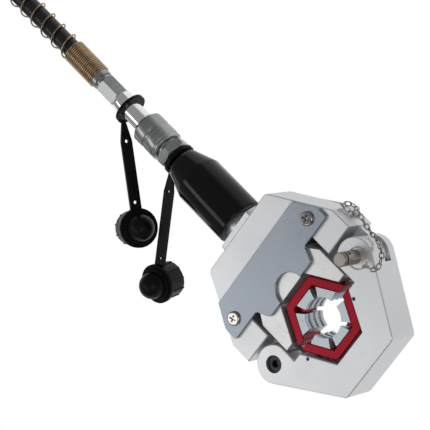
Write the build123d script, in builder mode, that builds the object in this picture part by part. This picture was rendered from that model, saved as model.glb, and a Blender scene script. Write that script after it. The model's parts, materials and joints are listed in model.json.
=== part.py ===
from build123d import *
import math
import os

# Hydraulic hose crimping head with its quick coupler, dust caps and pump hose.
# Frame: X runs along the tool towards the nose, +Z is the front face's outward
# direction, +Y the side of the lock pin. The origin is the crimp axis at mid-thickness.
# Every size is in millimetres.

# ---- head, overall ----
head_thickness = 37.6
edge_break = 0.8               # small chamfer on the machined outer edges
ram_travel = 8.2               # pusher stroke that closes the hexagon
pocket_apothem = 31.2          # half the across-flats of the closed hexagon
running_gap = 0.3              # between faces that slide past each other
fit_gap = 0.05                 # radial gap of a shaft that turns or slides in its hole

# ---- yoke: the fixed body of the head ----
yoke_back_x = -109.0
yoke_back_half = 43.7
yoke_shoulder_x = -52.3
yoke_half_width = 76.2
arm_end_x = -31.7
arm_inner_gap = 1.6            # the arms' inner walls stand back from the ears' by this
ram_slot_back_x = -62.5        # rear wall of the slot that the pusher slides in
back_corner_radius = 5.0
boss_radius = 26.0
boss_length = 4.6
neck_radius = 17.0
neck_length = 24.0
tongue_radius = 14.4
bush_wall = 2.0

# ---- clevis: the swinging nose of the head ----
pivot_x = -12.5
pivot_inset = 15.8             # the pivots lie this far inside the yoke's sides
pivot_y = yoke_half_width - pivot_inset
ear_radius = 16.6
nose_x = 55.7
nose_corner_y = 30.4           # centre height of the rounded nose corners
nose_corner_radius = 5.4
ear_flat = 0.5                 # the ears' inner walls cut this much off their rounding
fork_half_width = pivot_y - ear_radius + ear_flat
arm_inner_y = fork_half_width + arm_inner_gap
slot_width = 9.6
slot_z = -4.3                  # middle of the slot that takes the yoke's tongues
slot_end_x = 4.2
pivot_radius = 6.0
pivot_head_radius = 6.8
pivot_counterbore_radius = 7.6
pivot_head_depth = 9.0
pivot_hex_af = 6.0
pivot_recess = 2.6             # the pivot's head lies this deep under the face
set_screw_radius = 1.6         # set screws that clamp the detent pins
set_screw_recess = 2.0

# ---- cover plates ----
cover_thickness = 3.0
cover_back_x = -84.0
cover_back_half = 57.2
cover_side_x = -65.0
cover_side_margin = 6.9
cover_half_width = yoke_half_width - cover_side_margin
cover_front_x = -51.6
cover_waist_y = 37.0
cover_lip_x = -38.8
cover_lip_y = 31.0
cover_side_radius = 10.0
cover_lip_radius = 4.0
cover_corner_radius = 2.4
cover_cutout_radius = 14.7
cover_screw_x = -64.0
cover_screw_inset = 13.1
cover_screw_y = cover_half_width - cover_screw_inset
screw_head_radius = 6.2
screw_head_height = 2.4
screw_radius = 3.0
screw_depth = 12.0
cross_width = 1.6
cross_length = 6.4
cross_depth = 1.6

# ---- pusher and ram ----
pusher_prong_x = -10.6
pusher_side_gap = 1.3
pusher_half_width = fork_half_width - pusher_side_gap
pusher_shoulder_x = -41.0
pusher_back_x = -60.5
pusher_back_half = 29.0
rod_radius = 11.0
rod_stud_radius = 6.0
rod_stud_length = 14.0
piston_length = 12.0
piston_x = -154.0              # front face of the piston, ram fully back
piston_radius = 16.9
seal_section = 2.4
return_spring_wire = 1.4
return_spring_turns = 4

# ---- cylinder ----
cylinder_front_x = -119.4
cylinder_shoulder_x = -174.2
cylinder_cone_x = -197.2
cylinder_radius = 22.3
cone_end_radius = 14.5
cylinder_bore = 17.0
cylinder_bore_end_x = -168.0
cylinder_neck_radius = 9.6
port_radius = 3.5

# ---- die set ----
die_half_length = 14.4         # half the width of cage and jaws along the crimp axis
cage_apothem = 30.8
cage_corner_radius = 6.0
cage_inner_apothem = 22.8
cage_slit = 0.4                # gap left between the two cage halves when closed
cage_rib_width = 3.2
cage_rib_inner = 18.5
cage_rib_half = 9.0
rear_half_travel = 5.9         # how far each cage half moves while the ram closes
front_half_travel = 2.6
jaw_bore_radius = 15.9
jaw_back_half = 9.5
jaw_face_half = 6.3
jaw_face_apothem = 14.6
jaw_groove_depth = 1.3
jaw_groove_width = 3.6
jaw_groove_pitch = 8.4
jaw_corner_radius = 1.0
jaw_screw_radius = 2.0
jaw_screw_head_radius = 3.4
jaw_screw_head_height = 2.6
jaw_screw_length = 9.0
detent_radius = 1.5            # pins in the pocket walls that carry the two cage halves
detent_embed = 5.0
detent_reach = 2.6             # how far they stand in the cage's groove at rest
detent_offset = 7.4            # along the cage's flat, from its middle

# ---- lock pin, its ring and chain ----
pin_radius = 6.0
pin_proud = 23.5
pin_tip_gap = 0.2              # drawn: the tip stands just clear of the tongue
pin_groove_radius = 4.9
pin_groove_at = 3.4
pin_groove_width = 1.6
pin_hole_height = 13.0         # cross hole for the split ring, above the front face
pin_hole_radius = 1.95
pin_hole_offset = 3.0          # the cross hole lies this far off the pin's axis
ring_radius = 9.0
ring_wire = 0.9
chain_wire = 0.6
chain_link_length = 6.6
chain_link_width = 4.4
anchor_x = -44.0
anchor_z = -9.0
anchor_radius = 2.0
anchor_head_radius = 3.8
anchor_head_height = 2.2
anchor_depth = 9.0

# ---- quick coupler ----
coupler_hex_front_x = -204.4
coupler_hex_back_x = -213.7
coupler_hex_af = 26.6
coupler_tube_radius = 11.6
coupler_tube_back_x = -245.0
coupler_socket_x = -227.0
sleeve_front_x = -216.6
sleeve_back_x = -247.4
sleeve_radius = 15.1
sleeve_wall = 3.2
sleeve_groove_x = -232.6
sleeve_groove_width = 3.0
sleeve_groove_depth = 1.1
sleeve_lip_x = -219.6
sleeve_lip_width = 1.4
nipple_radius = 9.05
nipple_back_x = -270.4
collar_radius = 9.9
collar_back_x = -280.8
passage_radius = 3.0
swivel_back_x = -302.6
swivel_af = 18.2

# ---- dust caps ----
cap_ring_radius = 15.1
cap_ring_width = 3.0
cap_ring_gap = 0.3
strap_width = 10.2
strap_thickness = 2.6
strap_root = 3.0               # width where the strap leaves its ring
strap_taper = 19.0
strap_hole_radius = 1.5
cap_flange_radius = 17.5
cap_flange_width = 3.0
cap_step_radius = 14.6
cap_step_width = 2.2
cap_knob_radius = 11.8
cap_knob_rise = 3.0
cap_skirt_radius = 15.5
cap_skirt_length = 16.0
cap_wall = 2.6
cap_roof = 2.0
rib_count = 10
rib_radius = 0.8
ring_1_x = -268.2              # around the nipple
ring_2_x = -201.2              # around the cylinder's neck
cap_1_x = -197.5
cap_1_y = -76.8
cap_1_z = -2.0
cap_1_centre = Vector(cap_1_x, cap_1_y, cap_1_z)
cap_1_normal = Vector(0.59, 0.58, 0.56)
cap_2_x = -151.6
cap_2_y = -100.7
cap_2_z = -4.4
cap_2_centre = Vector(cap_2_x, cap_2_y, cap_2_z)
cap_2_normal = Vector(0.01, -0.24, 0.97)

# ---- hose and its fittings ----
ferrule_front_x = -306.2
ferrule_back_x = -340.0
ferrule_radius = 9.5
ferrule_rib = 0.5
stem_radius = 7.8
guard_front_x = -310.3
guard_back_x = -348.1
guard_radius = 10.7
guard_wire = 1.6
open_spring_turns = 7          # the guard goes on as an open spring along the hose
open_spring_pitch = 14.8
open_spring_radius = 10.6
open_spring_wire = 0.75
hose_radius = 8.4
coil_mean_radius = 94.0
coil_turns = 2
coil_x = -560.0
hose_level_x = -465.0          # up to here the hose leaves the coupling level
hose_landing_x = -524.0        # here it has come down to the surface
tail_clearance = 0.5           # between the coil and what lies on top of it
end_shell_radius = 10.0
end_shell_length = 22.0
end_fitting_af = 22.0
end_hex_length = 9.0
end_thread_radius = 8.3
end_thread_length = 14.0

# ---- worked out from the sizes above ----
half_head = head_thickness / 2
cover_top = half_head + cover_thickness
floor_z = -(cover_top + screw_head_height)
hose_floor_z = floor_z + hose_radius
pocket_side = 2 * pocket_apothem / math.sqrt(3)
pusher_flat_x = -pocket_apothem - ram_travel
tongue_thickness = slot_width - 2 * running_gap
ear_front_z = slot_z + slot_width / 2
coil_y = -coil_mean_radius - hose_radius * coil_turns / 2

os.makedirs("parts", exist_ok=True)
parts = []


def keep(solid, name):
    """Label a finished piece and remember it for export."""
    solid.label = name
    parts.append(solid)


def turned(points):
    """Solid of revolution about the X axis from (x, radius) corners."""
    with BuildPart() as piece:
        with BuildSketch(Plane.XZ):
            with BuildLine():
                Polyline(*points, close=True)
            make_face()
        revolve(axis=Axis.X)
    return piece.part


def detent_seats(facing, half_x):
    """Where two pins meet a cage half's sloping flats: z inwards, x along the flat to the split."""
    seats = []
    for side in (1, -1):
        outward = Vector(facing / 2, side * math.sqrt(3) / 2, 0)
        to_split = Vector(-facing * math.sqrt(3) / 2, side / 2, 0)
        seat_at = Vector(half_x, 0, 0) + outward * cage_apothem + to_split * detent_offset
        seats.append(Plane(seat_at, x_dir=to_split, z_dir=-outward))
    return seats


def detent_pins(seats, wall_gap):
    """Pins set in the pocket's wall, their tips standing in the cage's grooves."""
    with BuildPart() as pins:
        for seat in seats:
            with BuildSketch(seat.offset(detent_reach)):
                Circle(detent_radius)
            extrude(amount=-detent_reach - wall_gap - detent_embed)
    return pins.part


def in_pairs(points):
    """Corners of an outline that is the same on both sides of the X axis."""
    return points + [(x, -y) for x, y in reversed(points) if y != 0]


# ---------------------------------------------------------------- yoke body
yoke_outline = in_pairs([
    (yoke_back_x, yoke_back_half),
    (yoke_shoulder_x, yoke_half_width),
    (arm_end_x, yoke_half_width),
    (arm_end_x, arm_inner_y),
    (ram_slot_back_x, arm_inner_y),
])

with BuildPart() as yoke_body:
    with BuildSketch(Plane.XY.offset(-half_head)) as yoke_sketch:
        with BuildLine():
            Polyline(*yoke_outline, close=True)
        make_face()
        fillet(yoke_sketch.vertices().group_by(Axis.X)[0], back_corner_radius)
    extrude(amount=head_thickness)
    chamfer(yoke_body.faces().sort_by(Axis.Z)[-1].outer_wire().edges(), edge_break)
    chamfer(yoke_body.faces().sort_by(Axis.Z)[0].outer_wire().edges(), edge_break)
    # round boss behind the yoke, flush with both faces, and the threaded neck
    with BuildSketch(Plane.YZ.offset(yoke_back_x - boss_length)):
        Circle(boss_radius)
        Rectangle(2 * boss_radius, head_thickness - 2 * edge_break, mode=Mode.INTERSECT)
    extrude(amount=boss_length + 1)
    with BuildSketch(Plane.YZ.offset(yoke_back_x - boss_length)):
        Circle(neck_radius)
    extrude(amount=boss_length - neck_length)
    # tongues that the clevis ears straddle
    with BuildSketch(Plane.XY.offset(slot_z - tongue_thickness / 2)):
        for side in (-1, 1):
            with Locations((pivot_x, side * pivot_y)):
                Circle(tongue_radius)
            with Locations(((arm_end_x + pivot_x) / 2 - 1, side * pivot_y)):
                Rectangle(pivot_x - arm_end_x + 2, 2 * tongue_radius)
    extrude(amount=tongue_thickness)
    with BuildSketch(Plane.XY.offset(slot_z - tongue_thickness / 2)):
        for side in (-1, 1):
            with Locations((pivot_x, side * pivot_y)):
                Circle(pivot_radius + fit_gap + bush_wall)
    extrude(amount=tongue_thickness, mode=Mode.SUBTRACT)
    # bore for the ram rod
    with BuildSketch(Plane.YZ.offset(yoke_back_x - neck_length)):
        Circle(rod_radius + fit_gap)
    extrude(amount=ram_slot_back_x - yoke_back_x + neck_length, mode=Mode.SUBTRACT)
    # tapped holes for the cover screws, on both faces
    for face_side in (-1, 1):
        with BuildSketch(Plane.XY.offset(face_side * half_head)):
            with Locations((cover_screw_x, cover_screw_y), (cover_screw_x, -cover_screw_y)):
                Circle(screw_radius)
        extrude(amount=-face_side * screw_depth, mode=Mode.SUBTRACT)
    # tapped hole for the chain's anchor screw, in the side of the +Y arm
    with BuildSketch(Plane.XZ.offset(-yoke_half_width)):
        with Locations((anchor_x, anchor_z)):
            Circle(anchor_radius)
    extrude(amount=anchor_depth, mode=Mode.SUBTRACT)
keep(yoke_body.part, "yoke_body")

# bushes pressed into the two tongues
for side, bush_name in ((-1, "pivot_bush"), (1, "lock_pin_bush")):
    with BuildPart() as bush:
        with BuildSketch(Plane.XY.offset(slot_z - tongue_thickness / 2)):
            with Locations((pivot_x, side * pivot_y)):
                Circle(pivot_radius + fit_gap + bush_wall)
                Circle(pivot_radius + fit_gap, mode=Mode.SUBTRACT)
        extrude(amount=tongue_thickness)
    keep(bush.part, bush_name)

# ---------------------------------------------------------------- cover plates and screws
cover_outline = in_pairs([
    (cover_back_x, cover_back_half),
    (cover_side_x, cover_half_width),
    (cover_front_x, cover_half_width),
    (cover_front_x, cover_waist_y),
    (cover_lip_x, cover_lip_y),
])

for face_side, face_name in ((1, "front"), (-1, "rear")):
    with BuildPart() as cover:
        with BuildSketch(Plane.XY.offset(face_side * half_head)) as cover_sketch:
            with BuildLine():
                Polyline(*cover_outline, close=True)
            make_face()
            corners = cover_sketch.vertices().group_by(Axis.X)
            fillet(corners[1], cover_side_radius)
            front_corners = cover_sketch.vertices().filter_by(lambda v: abs(v.X - cover_front_x) < 0.01)
            fillet(front_corners, cover_corner_radius)
            fillet(cover_sketch.vertices().group_by(Axis.X)[-1], cover_lip_radius)
            with Locations((cover_lip_x, 0)):
                Circle(cover_cutout_radius, mode=Mode.SUBTRACT)
            with Locations((cover_screw_x, cover_screw_y), (cover_screw_x, -cover_screw_y)):
                Circle(screw_radius, mode=Mode.SUBTRACT)
        extrude(amount=face_side * cover_thickness)
        top_face = cover.faces().sort_by(Axis.Z)[-1 if face_side > 0 else 0]
        chamfer(top_face.outer_wire().edges(), edge_break / 2)
    keep(cover.part, face_name + "_cover")

    with BuildPart() as screws:
        with BuildSketch(Plane.XY.offset(face_side * cover_top)):
            with Locations((cover_screw_x, cover_screw_y), (cover_screw_x, -cover_screw_y)):
                Circle(screw_head_radius)
        extrude(amount=face_side * screw_head_height)
        head_face = screws.faces().filter_by(Axis.Z).group_by(Axis.Z)[-1 if face_side > 0 else 0]
        fillet(head_face.edges(), screw_head_height * 0.6)
        with BuildSketch(Plane.XY.offset(face_side * cover_top)):
            with Locations((cover_screw_x, cover_screw_y), (cover_screw_x, -cover_screw_y)):
                Circle(screw_radius)
        extrude(amount=-face_side * (cover_thickness + screw_depth - 1))
        with BuildSketch(Plane.XY.offset(face_side * (cover_top + screw_head_height))):
            with Locations((cover_screw_x, cover_screw_y), (cover_screw_x, -cover_screw_y)):
                Rectangle(cross_length, cross_width, rotation=20)
                Rectangle(cross_width, cross_length, rotation=20)
        extrude(amount=-face_side * cross_depth, mode=Mode.SUBTRACT)
    keep(screws.part, face_name + "_cover_screws")

# ---------------------------------------------------------------- clevis
front_wall_gap = pocket_apothem - cage_apothem + front_half_travel / 2
front_detents = detent_seats(1, -front_half_travel)
rear_detents = detent_seats(-1, -rear_half_travel)
set_screw_at = front_detents[0].origin - front_detents[0].z_dir * (front_wall_gap + detent_embed / 2)
set_screw_x = set_screw_at.X
set_screw_y = abs(set_screw_at.Y)

with BuildPart() as clevis:
    with BuildSketch(Plane.XY.offset(-half_head)) as clevis_sketch:
        with Locations((pivot_x, pivot_y), (pivot_x, -pivot_y)):
            Circle(ear_radius)
        nose_x_centre = nose_x - nose_corner_radius
        with Locations((nose_x_centre, nose_corner_y), (nose_x_centre, -nose_corner_y)):
            Circle(nose_corner_radius)
        make_hull()
        # the ears are round on the yoke's side, so that the nose can swing past the pusher
        with Locations((pivot_x - ear_radius, 0)):
            Rectangle(2 * ear_radius, 2 * (pivot_y + 2 * ear_radius), mode=Mode.SUBTRACT)
        with Locations((pivot_x, pivot_y), (pivot_x, -pivot_y)):
            Circle(ear_radius)
        # room between the ears for the pusher's prongs, and the hexagon pocket
        with Locations((pivot_x - ear_radius, 0)):
            Rectangle(2 * (ear_radius - pivot_x), 2 * fork_half_width, mode=Mode.SUBTRACT)
        ear_tips = clevis_sketch.vertices().filter_by(
            lambda v: v.X < pivot_x and abs(abs(v.Y) - fork_half_width) < 0.01)
        fillet(ear_tips, ear_radius / 2)
        RegularPolygon(pocket_side, 6, rotation=30, mode=Mode.SUBTRACT)
    extrude(amount=head_thickness)
    chamfer(clevis.faces().sort_by(Axis.Z)[-1].outer_wire().edges(), edge_break)
    chamfer(clevis.faces().sort_by(Axis.Z)[0].outer_wire().edges(), edge_break)
    # slots for the yoke's tongues
    slot_length = slot_end_x - pivot_x + 2 * ear_radius
    ear_span = ear_radius * 2 + 2
    for side in (-1, 1):
        with Locations((slot_end_x - slot_length / 2, side * (fork_half_width + ear_span / 2), slot_z)):
            Box(slot_length, ear_span, slot_width, mode=Mode.SUBTRACT)
    # pivot hole with its counterbore, and the lock pin's hole
    with BuildSketch(Plane.XY.offset(-half_head)):
        with Locations((pivot_x, -pivot_y)):
            Circle(pivot_radius)
        with Locations((pivot_x, pivot_y)):
            Circle(pin_radius + fit_gap)
    extrude(amount=head_thickness, mode=Mode.SUBTRACT)
    with BuildSketch(Plane.XY.offset(half_head)):
        with Locations((pivot_x, -pivot_y)):
            Circle(pivot_counterbore_radius)
    extrude(amount=-pivot_head_depth, mode=Mode.SUBTRACT)
    # blind holes for the detent pins and for the set screws that clamp them
    for seat in front_detents:
        with BuildSketch(seat):
            Circle(detent_radius)
        extrude(amount=-front_wall_gap - detent_embed, mode=Mode.SUBTRACT)
    with BuildSketch(Plane.XY.offset(half_head)):
        with Locations((set_screw_x, set_screw_y), (set_screw_x, -set_screw_y)):
            Circle(set_screw_radius)
    extrude(amount=detent_radius - half_head, mode=Mode.SUBTRACT)
keep(clevis.part, "clevis")

with BuildPart() as set_screws:
    with BuildSketch(Plane.XY.offset(detent_radius)):
        with Locations((set_screw_x, set_screw_y), (set_screw_x, -set_screw_y)):
            Circle(set_screw_radius)
    extrude(amount=half_head - detent_radius - set_screw_recess)
keep(set_screws.part, "die_retaining_screws")
keep(detent_pins(front_detents, front_wall_gap), "clevis_detent_pins")

pivot_head_height = pivot_head_depth - pivot_recess
with BuildPart() as pivot_bolt:
    with BuildSketch(Plane.XY.offset(1 - half_head)):
        with Locations((pivot_x, -pivot_y)):
            Circle(pivot_radius)
    extrude(amount=head_thickness - pivot_head_depth - 1)
    with BuildSketch(Plane.XY.offset(half_head - pivot_head_depth)):
        with Locations((pivot_x, -pivot_y)):
            Circle(pivot_head_radius)
    extrude(amount=pivot_head_height)
    with BuildSketch(Plane.XY.offset(half_head - pivot_recess)):
        with Locations((pivot_x, -pivot_y)):
            RegularPolygon(pivot_hex_af / math.sqrt(3), 6)
    extrude(amount=-pivot_head_height * 0.6, mode=Mode.SUBTRACT)
keep(pivot_bolt.part, "pivot_bolt")

# ---------------------------------------------------------------- pusher and ram
flat_half = pocket_side / 2
prong_inner_y = flat_half + (pusher_prong_x - pusher_flat_x) / math.sqrt(3)
pusher_outline = in_pairs([
    (pusher_flat_x, flat_half),
    (pusher_prong_x, prong_inner_y),
    (pusher_prong_x, pusher_half_width),
    (pusher_shoulder_x, pusher_half_width),
    (pusher_back_x, pusher_back_half),
])
pusher_thickness = head_thickness - 2 * running_gap
rear_wall_gap = pocket_apothem - cage_apothem + (ram_travel - rear_half_travel) / 2

with BuildPart() as pusher:
    with BuildSketch(Plane.XY.offset(-pusher_thickness / 2)):
        with BuildLine():
            Polyline(*pusher_outline, close=True)
        make_face()
    extrude(amount=pusher_thickness)
    chamfer(pusher.faces().sort_by(Axis.Z)[-1].edges(), edge_break / 2)
    chamfer(pusher.faces().sort_by(Axis.Z)[0].edges(), edge_break / 2)
    with BuildSketch(Plane.YZ.offset(pusher_back_x)):
        Circle(rod_stud_radius)
    extrude(amount=rod_stud_length, mode=Mode.SUBTRACT)
    for seat in rear_detents:
        with BuildSketch(seat):
            Circle(detent_radius)
        extrude(amount=-rear_wall_gap - detent_embed, mode=Mode.SUBTRACT)
keep(pusher.part, "pusher")
keep(detent_pins(rear_detents, rear_wall_gap), "pusher_detent_pins")

piston_back_x = piston_x - piston_length
groove_middle = piston_x - piston_length / 2
keep(turned([
    (piston_back_x, 0), (piston_back_x, piston_radius),
    (groove_middle - seal_section, piston_radius),
    (groove_middle - seal_section, piston_radius - seal_section),
    (groove_middle + seal_section, piston_radius - seal_section),
    (groove_middle + seal_section, piston_radius),
    (piston_x, piston_radius), (piston_x, rod_radius),
    (pusher_back_x, rod_radius), (pusher_back_x, rod_stud_radius),
    (pusher_back_x + rod_stud_length, rod_stud_radius), (pusher_back_x + rod_stud_length, 0),
]), "ram_rod")
keep(turned([
    (groove_middle - seal_section, piston_radius - seal_section),
    (groove_middle - seal_section, piston_radius + fit_gap / 2),
    (groove_middle + seal_section, piston_radius + fit_gap / 2),
    (groove_middle + seal_section, piston_radius - seal_section),
]), "piston_seal")

spring_room = (yoke_back_x - neck_length) - piston_x - 2 * running_gap
spring_radius = (rod_radius + cylinder_bore) / 2
with BuildPart() as return_spring:
    spring_rise = spring_room - 2 * return_spring_wire
    with BuildLine() as coils:
        Helix(pitch=spring_rise / return_spring_turns, height=spring_rise, radius=spring_radius)
    with BuildSketch(Plane(coils.line @ 0, z_dir=coils.line % 0)):
        RegularPolygon(return_spring_wire, 6)
    sweep(is_frenet=True)
spring_seat = Plane(Vector(piston_x + running_gap + return_spring_wire, 0, 0), z_dir=Vector(1, 0, 0))
keep(return_spring.part.moved(spring_seat.location), "return_spring")

# ---------------------------------------------------------------- cylinder
thread_end_x = yoke_back_x - neck_length
keep(turned([
    (cylinder_front_x, neck_radius), (cylinder_front_x, cylinder_radius - edge_break),
    (cylinder_front_x - edge_break, cylinder_radius),
    (cylinder_shoulder_x, cylinder_radius), (cylinder_cone_x, cone_end_radius),
    (cylinder_cone_x, cylinder_neck_radius), (coupler_hex_front_x, cylinder_neck_radius),
    (coupler_hex_front_x, port_radius), (cylinder_bore_end_x, port_radius),
    (cylinder_bore_end_x, cylinder_bore),
]), "cylinder")

# ---------------------------------------------------------------- die set
# Each half is drawn about the centre of the hexagon it closes on, then set back by
# the distance it still has to travel.
jaw_angles = {"rear": (180, 120, 240), "front": (0, 60, -60)}
jaw_numbers = iter(range(1, 7))

groove_half = detent_radius + running_gap

for half, facing, half_x, shift in (
        ("rear", -1, -rear_half_travel, ram_travel - rear_half_travel),
        ("front", 1, -front_half_travel, front_half_travel)):
    with BuildPart() as cage:
        with BuildSketch(Plane.XY.offset(-die_half_length)) as cage_sketch:
            with Locations((half_x, 0)):
                RegularPolygon(2 * cage_apothem / math.sqrt(3), 6, rotation=30)
            fillet(cage_sketch.vertices(), cage_corner_radius)
            with Locations((half_x, 0)):
                RegularPolygon(2 * cage_inner_apothem / math.sqrt(3), 6, rotation=30, mode=Mode.SUBTRACT)
            keep_width = 2 * cage_apothem
            with Locations((half_x + facing * (keep_width + cage_slit) / 2, 0)):
                Rectangle(keep_width, 3 * cage_apothem, mode=Mode.INTERSECT)
        extrude(amount=2 * die_half_length)
        chamfer(cage.faces().sort_by(Axis.Z)[-1].outer_wire().edges().filter_by(Axis.X, reverse=True)
                .filter_by(lambda e: e.length > 12), edge_break)
        # ribs that stand in the corners between neighbouring jaws
        with BuildSketch(Plane.XY.offset(-cage_rib_half)):
            with Locations((half_x, 0)):
                with PolarLocations(0, 2, start_angle=150 if facing < 0 else -30, angular_range=60,
                                    endpoint=True):
                    rib_middle = (cage_rib_inner + cage_inner_apothem * 2 / math.sqrt(3)) / 2 + 1
                    with Locations((rib_middle, 0)):
                        Rectangle(2 * (rib_middle - cage_rib_inner), cage_rib_width)
        extrude(amount=2 * cage_rib_half)
        # holes for the jaw screws
        for angle in jaw_angles[half]:
            direction = Vector(1, 0, 0).rotate(Axis.Z, angle)
            outer = Plane(Vector(half_x, 0, 0) + direction * cage_apothem, z_dir=direction)
            with BuildSketch(outer):
                Circle(jaw_screw_head_radius)
            extrude(amount=-jaw_screw_head_height, mode=Mode.SUBTRACT)
            with BuildSketch(outer):
                Circle(jaw_screw_radius)
            extrude(amount=-(cage_apothem - cage_inner_apothem), mode=Mode.SUBTRACT)
        # grooves that slide along the detent pins
        for seat in detent_seats(facing, half_x):
            with BuildSketch(seat):
                with Locations((shift * math.sqrt(3) / 4, 0)):
                    Rectangle(shift * math.sqrt(3) / 2 + 2 * groove_half, 2 * groove_half)
            extrude(amount=detent_reach + shift / 2 + running_gap, mode=Mode.SUBTRACT)
    keep(cage.part, "die_cage_" + half)

    for angle in jaw_angles[half]:
        jaw_frame = Plane(Vector(half_x, 0, -die_half_length), x_dir=Vector(1, 0, 0).rotate(Axis.Z, angle))
        with BuildPart() as jaw:
            with BuildSketch(jaw_frame) as jaw_sketch:
                with BuildLine():
                    slope = (jaw_back_half - jaw_face_half) / (cage_inner_apothem - jaw_face_apothem)
                    tip_half = jaw_face_half - slope * jaw_groove_depth
                    tip_apothem = jaw_face_apothem - jaw_groove_depth
                    Polyline((cage_inner_apothem, jaw_back_half), (tip_apothem, tip_half),
                             (tip_apothem, -tip_half), (cage_inner_apothem, -jaw_back_half), close=True)
                make_face()
                fillet(jaw_sketch.vertices().filter_by(
                    lambda v: (v.center() - jaw_frame.origin).dot(jaw_frame.x_dir) > jaw_face_apothem + 1),
                    jaw_corner_radius)
                Circle(jaw_bore_radius, mode=Mode.SUBTRACT)
            extrude(amount=2 * die_half_length)
            for level in (-1, 0, 1):
                groove_z = die_half_length + level * jaw_groove_pitch - jaw_groove_width / 2
                with BuildSketch(jaw_frame.offset(groove_z)):
                    Circle(jaw_bore_radius + jaw_groove_depth)
                extrude(amount=jaw_groove_width, mode=Mode.SUBTRACT)
            with BuildSketch(Plane(Vector(half_x, 0, 0) + jaw_frame.x_dir * cage_inner_apothem,
                                   z_dir=jaw_frame.x_dir)):
                Circle(jaw_screw_radius)
            extrude(amount=-(jaw_screw_length - cage_apothem + cage_inner_apothem + jaw_screw_head_height),
                    mode=Mode.SUBTRACT)
        keep(jaw.part, f"die_jaw_{next(jaw_numbers)}")

    with BuildPart() as jaw_screws:
        for angle in jaw_angles[half]:
            direction = Vector(1, 0, 0).rotate(Axis.Z, angle)
            seat = Plane(Vector(half_x, 0, 0) + direction * (cage_apothem - jaw_screw_head_height),
                         z_dir=direction)
            with BuildSketch(seat):
                Circle(jaw_screw_head_radius)
            extrude(amount=jaw_screw_head_height - running_gap)
            with BuildSketch(seat):
                Circle(jaw_screw_radius)
            extrude(amount=-jaw_screw_length)
    keep(jaw_screws.part, "jaw_screws_" + half)

# ---------------------------------------------------------------- lock pin, ring, chain
pin_top = half_head + pin_proud
pin_tip = ear_front_z - running_gap + pin_tip_gap
groove_z = pin_top - pin_groove_at
hole_z = half_head + pin_hole_height
ring_side = Vector(1, 1, 0).normalized()

with BuildPart() as pull_pin:
    with BuildSketch(Plane.XY.offset(pin_tip)):
        with Locations((pivot_x, pivot_y)):
            Circle(pin_radius)
    extrude(amount=pin_top - pin_tip)
    chamfer(pull_pin.faces().filter_by(Axis.Z).edges(), edge_break)
    with BuildSketch(Plane.XY.offset(groove_z)):
        with Locations((pivot_x, pivot_y)):
            Circle(pin_radius + 1)
            Circle(pin_groove_radius, mode=Mode.SUBTRACT)
    extrude(amount=-pin_groove_width, mode=Mode.SUBTRACT)
    hole_middle = Vector(pivot_x, pivot_y, hole_z) + ring_side * pin_hole_offset
    with BuildSketch(Plane(hole_middle, z_dir=Vector(-1, 1, 0))):
        Circle(pin_hole_radius)
    extrude(amount=pin_radius + 1, both=True, mode=Mode.SUBTRACT)
keep(pull_pin.part, "pull_pin")

ring_centre = hole_middle + ring_side * (ring_radius - ring_wire)
with BuildPart() as split_ring:
    with BuildSketch(Plane(ring_centre, x_dir=(1, 0, 0), z_dir=(0, -1, 0))):
        with Locations((ring_radius, 0)):
            RegularPolygon(ring_wire, 8)
    revolve(axis=Axis(ring_centre, (0, 0, 1)))
keep(split_ring.part, "pin_split_ring")

with BuildPart() as anchor_screw:
    with BuildSketch(Plane.XZ.offset(-yoke_half_width)):
        with Locations((anchor_x, anchor_z)):
            Circle(anchor_head_radius)
    extrude(amount=-anchor_head_height)
    with BuildSketch(Plane.XZ.offset(-yoke_half_width)):
        with Locations((anchor_x, anchor_z)):
            Circle(anchor_radius)
    extrude(amount=anchor_depth - 1)
keep(anchor_screw.part, "chain_anchor_screw")

# the chain's route: from the anchor screw, heaped on the arm, round the ear to the ring
side_y = yoke_half_width + chain_link_width / 2 + running_gap
face_z = half_head + chain_link_width / 2 + 2 * running_gap
chain_route = [
    (anchor_x + 2.5, side_y + 0.6, anchor_z + 6.5), (anchor_x - 1, side_y, anchor_z + 13),
    (anchor_x - 9, side_y, anchor_z + 14.5), (anchor_x - 10.5, side_y, anchor_z + 7),
    (anchor_x - 3.5, side_y + 4.9, anchor_z + 5.5), (anchor_x + 5, side_y + 4.4, anchor_z + 6),
    (anchor_x + 24, side_y, anchor_z + 10), (pivot_x + 9.5, pivot_y + 20, 8.5),
    (pivot_x + 20, pivot_y + 16, 15.5), (pivot_x + 22.5, pivot_y + 9.5, face_z + 0.6),
    (pivot_x + 15.5, pivot_y + 4.5, face_z), (pivot_x + 13.5, pivot_y + 5.6, hole_z - 4.2),
]
with BuildPart() as chain_link:
    with BuildSketch(Plane.XZ):
        for shrink, mode in ((0, Mode.ADD), (4 * chain_wire, Mode.SUBTRACT)):
            with BuildSketch(mode=Mode.PRIVATE) as link_outline:
                Rectangle(chain_link_length - shrink, chain_link_width - shrink)
                chamfer(link_outline.vertices(), (chain_link_width - shrink) / 4)
            add(link_outline.sketch, mode=mode)
    extrude(amount=chain_wire, both=True)

chain_pitch = chain_link_length - 2 * chain_wire + 0.1
with BuildLine() as chain_path:
    Spline(*chain_route)
chain_line = chain_path.edges()[0]
link_count = int(chain_line.length / chain_pitch)
links = []
for index in range(link_count):
    where = (index + 0.5) / link_count
    along = chain_line.tangent_at(where)
    upright = Vector(0, 1, 0) if abs(along.Y) < 0.8 else Vector(0, 0, 1)
    link_plane = Plane(chain_line.position_at(where), x_dir=along, z_dir=along.cross(upright))
    turn = Rot(45 if index % 2 else -45, 0, 0)
    links.append(chain_link.part.moved(link_plane.location * turn))
keep(Compound(children=links), "retaining_chain")

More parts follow.
